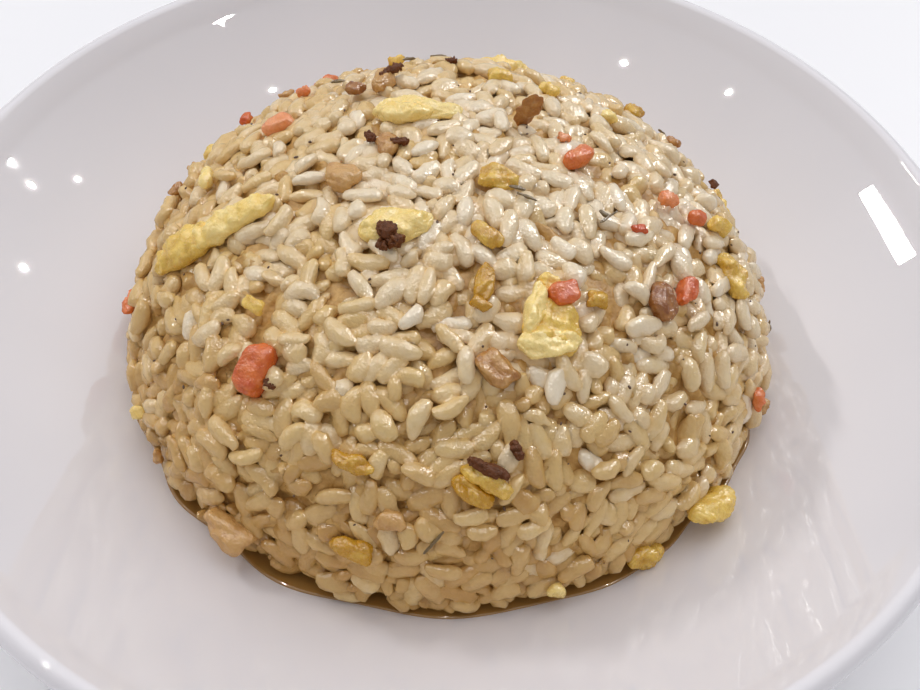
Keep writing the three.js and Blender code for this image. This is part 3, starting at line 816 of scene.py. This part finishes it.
# How the grains are laid and shaped, in millimetres where it isn't a share or a count.
rice = {
    "seed": 12,
    "depths": (0.0, 1.5, 3.3),  # of each layer's tops under the outline
    "counts": (1320, 1250, 700),
    "startDepth": 1.7,  # of a grain's middle under its layer's tops
    "startLowest": -0.45,  # as a height on a ball of radius 1
    "length": (4.9, 7.6),
    "width": (2.8, 3.7),
    "brokenShare": 0.12,
    "brokenLength": 0.72,
    "flatness": 0.82,  # a grain's thickness as a share of its width,
    "flatSpread": (0.88, 1.08),  # which differs by this much
    "softness": 0.70,  # share of their width at which neighbours stop each other
    "steps": 70,
    "stepsPerLook": 8,  # after so many, each grain looks for its neighbours again
    "lookReach": 0.8,
    "shake": 0.25,  # turn given to each grain now and then while it settles
    "push": 0.9,  # share of an overlap that a step undoes
    "press": 0.8,  # share of what stands proud that a step presses down
    "topDraw": 0.10,  # how far a step draws a grain of the top layer to its height,
    "deepDraw": 0.03,  # and one of the others
    "overDish": 0.95,  # share of a grain's radius kept over the dish
    "sunk": -0.5,  # a grain's usual height over its layer's tops,
    "unevenness": 0.75,  # how much that differs,
    "proudest": 0.7,  # and the most that it may be
    "tilt": 0.5,
    "onEnd": 0.15,  # share of the grains that stand steeply,
    "onEndTilt": 4,  # and how many times the tilt they have
    "roll": 0.5,
    "taper": 0.13,
    "blunt": (0.62, 0.9),  # the power of the grain's rounding: the lower, the blunter
    "bend": 0.35,
    "arch": 0.25,
    "lumps": 0.05,  # shares of the width: along a grain,
    "uneven": (0.06, 0.07, 0.05),  # and once, twice and three times round it
    "dents": 0.12,
    "dentSize": 2.6,
    "seamReach": 0.9,  # how far off a neighbour a grain's skin starts to turn to it
    "blend": 0.6,
    "fillet": 0.12,
    "rings": 6,
    "sides": 10,
    # Tone holds the grains' own random spread, plus painted light (paler towards the crown, the two sides and
    # the right) and painted shade (darker in deeper layers)
    "lowTone": 0.12,  # tone runs from tan (0) through cream to white (1)
    "crownLightTone": 0.7,
    "riseFrom": 12,  # the height from which the tone rises
    "riseCurve": 1.7,
    "rightLightTone": 0.003,
    "sideLightTone": 0.34,
    "toneSpread": 0.11,
    "paleShare": 0.05,
    "paleTone": 0.35,
    "depthShadeTone": 0.08,
    "tan": (0.53, 0.295, 0.085),
    "cream": (0.71, 0.49, 0.205),
    "white": (0.86, 0.74, 0.55),
    # painted shade: a darker tan laid along the seams where grains meet
    "seam": (0.55, 0.31, 0.075),
    "oiled": (0.74, 0.56, 0.22),
}


# Random points over the outline, as many on every patch, and none below a ball height:
# points drawn on a ball are kept more often where it is stretched more.
def scatterOnOutline(draw, count, lowest):
    drawsEach = 40
    ball = unit(draw.normal(size=(drawsEach * count, 3)))
    radii = np.full(ball.shape, heap["radius"])
    radii[:, 2] = np.where(ball[:, 2] < 0, heap["tuck"], heap["rise"])
    area = np.linalg.norm(ball / radii, axis=1) * radii.prod(1)
    keep = (draw.uniform(size=len(ball)) * area.max() < area) & (ball[:, 2] > lowest)
    return (ball * radii + heapCentre)[keep][:count]


# Toppings as fixed capsules that rice has to lie clear of: some side by side where they
# are wide. Each is its middle, its direction, its half length and its radius.
def toppingCapsules(bits):
    pieces = {**eggPieces, **carrotPieces, **meatPieces}
    lumps = [one for node, parts in pieces.items() for one in lumpsOf(node, parts)]
    for name in ("egg_bits", "carrot_bits", "meat_bits"):
        lumps += bits[name]
    rows = []
    for one in lumps:
        length, width, thickness = one["size"]
        radius = min(thickness, width) / 2
        reach = max(length / 2 - radius, 0.1)
        spread = max(width / 2 - radius, 0)
        for side in np.linspace(-spread, spread, 1 + int(np.ceil(spread / radius))):
            ends = laidOnHeap(one, np.array([[-reach, side, 0], [reach, side, 0]]))
            line = ends[1] - ends[0]
            rows.append((*ends.mean(0), *unit(line), np.linalg.norm(line) / 2, radius))
    return np.array(rows)


# Nearest points of two middle lines, each given by its middle, direction and half length.
def nearestOnLines(offset, alongA, alongB, halfA, halfB):
    cosine = (alongA * alongB).sum(1)
    toA, toB = (offset * alongA).sum(1), (offset * alongB).sum(1)
    a = np.clip((toA - cosine * toB) / np.maximum(1 - cosine**2, 1e-3), -halfA, halfA)
    b = np.clip(cosine * a - toB, -halfB, halfB)
    a = np.clip(cosine * b + toA, -halfA, halfA)
    return a, b


# Grains fall into place: each is a capsule that is pushed off the ones it overlaps, held
# under the outline, drawn up to its layer and kept out of the dish.
def settleRice(bits):
    draw = np.random.default_rng(rice["seed"])
    middles, layerDepth = [], []
    for depth, count in zip(rice["depths"], rice["counts"]):
        spots = scatterOnOutline(draw, count, rice["startLowest"])
        _, normal = overOutline(spots)
        middles.append(spots - normal * (depth + rice["startDepth"]))
        layerDepth.append(np.full(len(spots), depth))
    middle, layerDepth = np.concatenate(middles), np.concatenate(layerDepth)
    grains = len(middle)
    length = draw.uniform(*rice["length"], grains)
    length *= np.where(draw.uniform(size=grains) < rice["brokenShare"], rice["brokenLength"], 1)
    width = draw.uniform(*rice["width"], grains)
    radius = width * (1 + rice["flatness"]) / 4
    half = length / 2 - radius
    _, normal = overOutline(middle)
    along = draw.normal(size=(grains, 3))
    along = unit(along - normal * (along * normal).sum(1, keepdims=True))
    steep = np.where(draw.uniform(size=(grains, 1)) < rice["onEnd"], rice["onEndTilt"], 1)
    along = unit(along + normal * draw.normal(0, rice["tilt"], (grains, 1)) * steep)
    allowance = np.minimum(draw.normal(rice["sunk"], rice["unevenness"], grains), rice["proudest"])
    fixed = toppingCapsules(bits)
    free = np.concatenate([np.ones(grains), np.zeros(len(fixed))])
    middle = np.concatenate([middle, fixed[:, :3]])
    along = np.concatenate([along, fixed[:, 3:6]])
    half = np.concatenate([half, fixed[:, 6]])
    radius = np.concatenate([radius, fixed[:, 7]])
    lifting = np.where(layerDepth > 0, rice["deepDraw"], rice["topDraw"])
    for step in range(rice["steps"]):
        if step % rice["stepsPerLook"] == 0:
            if step < rice["steps"] / 2:
                along[:grains] = unit(along[:grains] + draw.normal(0, rice["shake"], (grains, 3)))
            apart = np.linalg.norm(middle[:, None] - middle[None], axis=-1)
            reach = half + radius
            a, b = np.nonzero(np.triu(apart < reach[:, None] + reach[None] + rice["lookReach"], 1))
            keep = free[a] + free[b] > 0
            a, b = a[keep], b[keep]
        offset = middle[b] - middle[a]
        onA, onB = nearestOnLines(offset, along[a], along[b], half[a], half[b])
        gap = offset + onB[:, None] * along[b] - onA[:, None] * along[a]
        distance = np.linalg.norm(gap, axis=1)
        overlap = np.maximum(0, rice["softness"] * (radius[a] + radius[b]) - distance)
        push = gap / np.maximum(distance, 1e-6)[:, None] * overlap[:, None]
        share = free[a] / (free[a] + free[b])
        ends = np.stack([middle - half[:, None] * along, middle + half[:, None] * along])
        for who, at, part in ((a, onA, -share), (b, onB, 1 - share)):
            lean = np.clip(at / np.maximum(half[who], 0.1), -1, 1)
            for end, weight in ((0, (1 - lean) / 2), (1, (1 + lean) / 2)):
                move = push * (part * weight * rice["push"])[:, None]
                for axis in range(3):
                    ends[end, :, axis] += np.bincount(who, move[:, axis], len(middle))
        grain = ends[:, :grains]
        for end in (0, 1):
            height, outward = overOutline(grain[end])
            over = height + radius[:grains] - allowance
            grain[end] -= outward * np.maximum(0, over)[:, None] * rice["press"]
            pull = -(layerDepth + over)
            grain[end] += outward * (np.clip(pull, -1, 1) * lifting)[:, None]
            out = np.hypot(grain[end][:, 0], grain[end][:, 1])
            below = innerFace(out) + radius[:grains] * rice["overDish"] - grain[end][:, 2]
            grain[end][:, 2] += np.maximum(0, below)
        middle[:grains] = grain.mean(0)
        along[:grains] = unit(grain[1] - grain[0])
    inside = (a < grains) & (b < grains)
    return middle[:grains], along[:grains], length, width, layerDepth, (a[inside], b[inside]), draw


# A grain: rings whose half width is sin(a) to a power under 1, for a from tip to tip, so
# that the ends are blunt; flattened, tapered, bent by its length squared and slightly lumpy.
def grainShells(middle, along, length, width, draw):
    count = len(middle)
    rings, sides = rice["rings"], rice["sides"]
    a = np.pi * (np.arange(rings) + 1) / (rings + 1)
    b = 2 * np.pi * np.arange(sides) / sides
    t = -np.cos(a)
    _, outward = overOutline(middle)
    flatWay = unit(outward - along * (outward * along).sum(1, keepdims=True))
    roll = draw.normal(0, rice["roll"], count)
    across = np.cross(flatWay, along)
    wide = np.cos(roll)[:, None] * across + np.sin(roll)[:, None] * flatWay
    thin = np.cos(roll)[:, None] * flatWay - np.sin(roll)[:, None] * across
    taper = draw.normal(0, rice["taper"], count)[:, None]
    blunt = draw.uniform(*rice["blunt"], count)[:, None]
    bend = draw.normal(0, rice["bend"], count)[:, None]
    arch = draw.normal(0, rice["arch"], count)[:, None]
    lumps = 1 + rice["lumps"] * np.sin(2.6 * t + draw.uniform(0, 6.3, (count, 1)))
    span = np.sin(a) ** blunt * (1 + taper * t) * lumps
    halfWidth = (width[:, None] / 2 * span)[..., None]
    halfThick = halfWidth * rice["flatness"] * draw.uniform(*rice["flatSpread"], count)[:, None, None]
    phase = draw.uniform(0, 2 * np.pi, (4, count, 1, 1))
    once, twice, thrice = rice["uneven"]
    uneven = 1 + twice * np.sin(2 * b + phase[0]) + thrice * np.sin(3 * b + 2 * t[:, None] + phase[1])
    uneven = uneven + once * np.sin(b + 3.5 * t[:, None] + phase[2]) * np.cos(2 * t[:, None] + phase[3])
    line = middle[:, None] + (length / 2)[:, None, None] * t[:, None] * along[:, None]
    flex = 0.4  # a bent grain's middle line stays about where it was
    curve = t**2 - flex
    line = line + ((bend * curve)[..., None] * wide[:, None] + (arch * curve)[..., None] * thin[:, None])
    ring = line[:, :, None] + (halfWidth * np.cos(b) * uneven)[..., None] * wide[:, None, None]
    ring = ring + (halfThick * np.sin(b) * uneven)[..., None] * thin[:, None, None]
    dents = ripples(ring, rice["dentSize"], 41, 12)[..., None]
    ring = ring + rice["dents"] * unit(ring - line[:, :, None]) * dents
    ends = np.stack([-1.0, 1.0] * count).reshape(count, 2)
    tips = middle[:, None] + (length / 2)[:, None, None] * ends[..., None] * along[:, None]
    bend, arch = bend * (1 - flex), arch * (1 - flex)
    tips = tips + (bend[..., None] * wide[:, None] + arch[..., None] * thin[:, None])
    return ring, tips


# Where grains meet: each point's mark is 1 on a neighbour's skin and falls to 0 a given way
# off it, by the distance to the neighbour's middle line less its radius. The lean is the
# neighbour's normal times w / (1 - w), with w half the overlap, so both skins agree there.
def seamsOfGrains(points, middle, along, length, width, pairs):
    marks, lean = np.zeros(points.shape[:2]), np.zeros(points.shape)
    reach = rice["seamReach"]
    mostShare = 0.8
    skinShare = 0.45  # of a grain's width, from its middle line to its skin
    batches = 16  # to save memory
    for first, second in (pairs, pairs[::-1]):
        for part in np.array_split(np.arange(len(first)), batches):
            own, other = first[part], second[part]
            offset = points[own] - middle[other][:, None]
            half = (length[other] / 2 - width[other] / 2)[:, None]
            at = np.clip((offset * along[other][:, None]).sum(-1), -half, half)
            away = offset - at[..., None] * along[other][:, None]
            gap = np.linalg.norm(away, axis=-1) - skinShare * width[other][:, None]
            share = np.clip((1 - gap / reach) / 2, 0, mostShare)
            np.maximum.at(marks, own, np.clip(1 - np.abs(gap) / reach, 0, 1))
            np.add.at(lean, own, unit(away) * (share / (1 - share))[..., None])
    return marks, lean * rice["blend"]


def riceMaterial():
    flesh = {"Subsurface Weight": 0.5, "Subsurface Scale": 0.0009}
    flesh["Subsurface Radius"] = (1.0, 0.85, 0.6)
    recipe = Recipe("friedRice", {**flesh, "IOR": 1.5, "Specular IOR Level": 0.55})
    recipe.shader.subsurface_method = "BURLEY"
    # The tone mark carries painted light and shade as well as each grain's own tone
    tone = recipe.mark("tone")
    cloud = recipe.noise(2.2, 2, 0.5)  # within a grain
    stops = [(0.0, rice["tan"]), (0.45, rice["cream"]), (1.0, rice["white"])]
    colour = recipe.ramp(tone + 0.35 * (cloud - 0.5), stops)
    oiled = recipe.between(recipe.noise(7, 2), 0.48, 0.72)  # over several grains
    colour = recipe.blend(oiled * 0.2, colour, rice["oiled"])
    # painted shade: the darker tan blended in along the seams between grains
    colour = recipe.blend(recipe.mark("seam") ** 2 * 0.5, colour, rice["seam"])
    recipe.set("Base Color", colour)
    recipe.set("Roughness", 0.14 + 0.12 * recipe.noise(0.8, 2))
    grit = recipe.noise(0.42, 1.0)
    recipe.set("Normal", recipe.relief(0.1, grit, recipe.relief(0.14, recipe.noise(0.9, 1.0))))
    return recipe.material


core = {
    "rings": 90,
    "sides": 220,
    "depth": 3.1,  # under the heap's outline
    "rough": 0.7,
    "roughLength": 4.2,
    "overDish": 0.4,
    "cloudSize": 2.8,
    # painted shade: the rice within shows only in the gaps between grains and is coloured dark brown as the
    # shade there
    "dark": (0.42, 0.21, 0.045),
    "light": (0.66, 0.40, 0.13),
}


def coreShadeMaterial():
    recipe = Recipe("riceWithinShade", {"Specular IOR Level": 0.3})
    cloud = recipe.noise(core["cloudSize"], 3, 0.6)
    # painted shade: dark browns for the gaps between the grains
    recipe.set("Base Color", recipe.ramp(cloud, [(0.35, core["dark"]), (0.62, core["light"])]))
    recipe.set("Roughness", 0.35 + 0.2 * cloud)
    recipe.set("Normal", recipe.relief(0.6, cloud))
    return recipe.material


# The rice within: the outline drawn in by a depth and roughened by waves the size of grains.
def makeCore():
    ball = ballRings(core["rings"], core["sides"])[..., [1, 2, 0]]
    spots = ball * np.where(ball[..., 2:] < 0, [1, 1, heap["tuck"] / heap["rise"]], 1.0)
    points = spots * crownRadii + heapCentre
    _, outward = overOutline(points)
    rough = ripples(points, core["roughLength"], 5, 14)
    points = points - outward * (core["depth"] - core["rough"] * rough)[..., None]
    out = np.hypot(points[..., 0], points[..., 1])
    points[..., 2] = np.maximum(points[..., 2], innerFace(out) + core["overDish"])
    bottom = np.array([heap["centre"][0], heap["centre"][1], innerFace(0.0) + core["overDish"]])
    top = np.array([heap["centre"][0], heap["centre"][1], heap["centre"][2] + heap["rise"] - core["depth"]])
    piece = buildShells("rice_core", points[None], np.stack([bottom, top])[None], coreShadeMaterial())
    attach(piece, "root")
    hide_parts("rice_heap")
    print("core of the heap made")


# Each grain's tone: its own random spread and a few pale grains, plus painted light that makes it paler
# towards the crown, the two sides and the right, and painted shade that makes it darker in the depth.
def grainTonesAndLight(middle, layerDepth, draw):
    count = len(middle)
    x, rise = middle[:, 0], np.clip((middle[:, 2] - rice["riseFrom"]) / heap["rise"], 0, 1)
    # painted light: the higher a grain lies towards the crown, the paler it is
    tone = rice["lowTone"] + rice["crownLightTone"] * rise ** rice["riseCurve"]
    # painted light: paler towards the right and towards both sides
    tone = tone + rice["rightLightTone"] * x + rice["sideLightTone"] * (x / heap["radius"]) ** 2
    tone = tone + draw.normal(0, rice["toneSpread"], count)
    tone = np.where(draw.uniform(size=count) < rice["paleShare"], tone + rice["paleTone"], tone)
    # painted shade: the deeper its layer, the darker the grain
    return np.clip(tone - rice["depthShadeTone"] * layerDepth, 0, 1)


# The rice: grains settled and shaped, and their skins swelled a little along the seams.
def makeRice(bits):
    middle, along, length, width, layerDepth, pairs, draw = settleRice(bits)
    ring, tips = grainShells(middle, along, length, width, draw)
    count = len(middle)
    points = 2 + rice["rings"] * rice["sides"]
    shade = np.repeat(grainTonesAndLight(middle, layerDepth, draw)[:, None], points, 1)
    skin = np.concatenate([tips[:, :1], ring.reshape(count, -1, 3), tips[:, 1:]], 1)
    seam, lean = seamsOfGrains(skin, middle, along, length, width, pairs)
    offset = skin - middle[:, None]
    half = np.repeat((length / 2 - width / 2)[:, None], points, 1)
    at = np.clip((offset * along[:, None]).sum(-1), -half, half)
    skin += rice["fillet"] * unit(unit(offset - at[..., None] * along[:, None]) + lean) * (seam**2)[..., None]
    ring, tips = skin[:, 1:-1].reshape(ring.shape), skin[:, [0, -1]]
    material = riceMaterial()
    for name, depth in zip(("rice_top", "rice_under", "rice_deep"), rice["depths"]):
        chosen = layerDepth == depth
        marks = {"tone": shade[chosen], "seam": seam[chosen]}
        piece = buildShells(name, ring[chosen], tips[chosen], material, marks, lean[chosen])
        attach(piece, "root")
        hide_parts("rice_heap")
        print(name, int(chosen.sum()), "grains")


studio = {
    "floorHalf": 1600.0,
    "floorHeight": -0.3,
    "floorColour": (0.90, 0.90, 0.92),
    "sky": (0.97, 0.97, 1.0),
    "skyStrength": 0.53,
    "glow": (76, 62),  # azimuth and elevation of the brightest part of the room
    "glowStrength": 0.92,
    "glowReach": 55,  # degrees from its middle to where it has faded out
    # azimuth, elevation, distance, size in millimetres and its roll, power in watts
    "lamps": (
        ("spotRight", 34, 44, 1500, (14, 14), 0, 5.0),
        ("spotRightSecond", 37, 45, 1500, (12, 12), 0, 3.6),
        ("spotRightHigh", 35, 50, 1500, (9, 9), 0, 2.6),
        ("spotRightBack", 50, 40, 1500, (12, 12), 0, 5.0),
        ("barLeft", 139, 41, 1500, (300, 30), 40, 4.2),
        ("spotFront", -16, 63, 1500, (90, 36), 20, 2.6),
        ("spotOver", -90, 84, 1500, (14, 14), 0, 2.4),
        ("spotOverLeft", 192, 70, 1500, (14, 14), 0, 3.2),
        ("spotOverRight", 5, 72, 1500, (14, 14), 0, 3.0),
        ("barFarLeft", 180, 30, 1500, (260, 16), 0, 3.5),
        ("spotLeft", 172, 60, 1500, (12, 12), 0, 2.6),
    ),
    "lampColour": (1.0, 0.97, 0.94),
}
cameraPose = {
    "place": (0.0, -160.56, 203.16),
    "aim": (3.96, 7.52, 0.0),
    "roll": 2.3,  # degrees
    "focal": 1250.0,  # in pixels of the frame,
    "frameWidth": 920,  # which is so many wide
}


# The room's light: even, and brighter towards one side of the ceiling, by how nearly the
# direction looked in agrees with the middle of the glow.
def lightRoom(tree):
    turn, rise = np.radians(studio["glow"])
    middle = (np.cos(rise) * np.cos(turn), np.cos(rise) * np.sin(turn), np.sin(rise))
    look = tree.nodes.new("ShaderNodeTexCoord")
    agree = tree.nodes.new("ShaderNodeVectorMath")
    agree.operation = "DOT_PRODUCT"
    agree.inputs[1].default_value = middle
    fade = tree.nodes.new("ShaderNodeMapRange")
    fade.interpolation_type = "SMOOTHSTEP"
    fade.inputs["From Min"].default_value = np.cos(np.radians(studio["glowReach"]))
    fade.inputs["To Min"].default_value = studio["skyStrength"]
    fade.inputs["To Max"].default_value = studio["skyStrength"] + studio["glowStrength"]
    background = tree.nodes["Background"]
    background.inputs["Color"].default_value = (*studio["sky"], 1)
    tree.links.new(look.outputs["Generated"], agree.inputs[0])
    tree.links.new(agree.outputs["Value"], fade.inputs["Value"])
    tree.links.new(fade.outputs["Result"], background.inputs["Strength"])


def makeStudio():
    half, level = studio["floorHalf"], studio["floorHeight"]
    points = np.array([[x, y, level] for x, y in ((-half, -half), (half, -half), (half, half), (-half, half))])
    recipe = Recipe("paleTable", {"Base Color": (*studio["floorColour"], 1), "Roughness": 0.55})
    floor = buildMesh("table_top", points, np.array([[0, 1, 2, 3]]), np.zeros((0, 3), int), recipe.material)
    scene = bpy.context.scene
    world = bpy.data.worlds.new("softRoom")
    world.use_nodes = True
    lightRoom(world.node_tree)
    scene.world = world
    scene.view_settings.view_transform = "Standard"
    for name, azimuth, elevation, distance, size, roll, power in studio["lamps"]:
        light = bpy.data.lights.new(name, "AREA")
        light.shape = "RECTANGLE"
        light.size, light.size_y = size[0] * mm, size[1] * mm
        light.energy = power
        light.color = studio["lampColour"]
        lamp = bpy.data.objects.new(name, light)
        turn, rise = np.radians(azimuth), np.radians(elevation)
        way = Vector((np.cos(rise) * np.cos(turn), np.cos(rise) * np.sin(turn), np.sin(rise)))
        lamp.location = way * distance * mm
        rolled = way.to_track_quat("Z", "Y").to_matrix() @ Matrix.Rotation(np.radians(roll), 3, "Z")
        lamp.rotation_euler = rolled.to_euler()
        lamp.visible_diffuse = name == "barLeft"  # the spots only give the small highlights
        scene.collection.objects.link(lamp)


def makeCamera():
    lens = bpy.data.cameras.new("tableCamera")
    lens.sensor_width = 36
    lens.lens = lens.sensor_width * cameraPose["focal"] / cameraPose["frameWidth"]
    lens.clip_start = 0.01
    camera = bpy.data.objects.new("tableCamera", lens)
    place, aim = Vector(cameraPose["place"]), Vector(cameraPose["aim"])
    rolled = Matrix.Rotation(np.radians(cameraPose["roll"]), 3, "Z")
    axes = (aim - place).to_track_quat("-Z", "Y").to_matrix() @ rolled
    camera.matrix_world = Matrix.Translation(place * mm) @ axes.to_4x4()
    bpy.context.scene.collection.objects.link(camera)
    bpy.context.scene.camera = camera


makePlate()
smallBits = layBits()
makeToppings(smallBits)
makeSpecks()
makeOilAndShadow()
makeCore()
makeRice(smallBits)
makeStudio()
makeCamera()
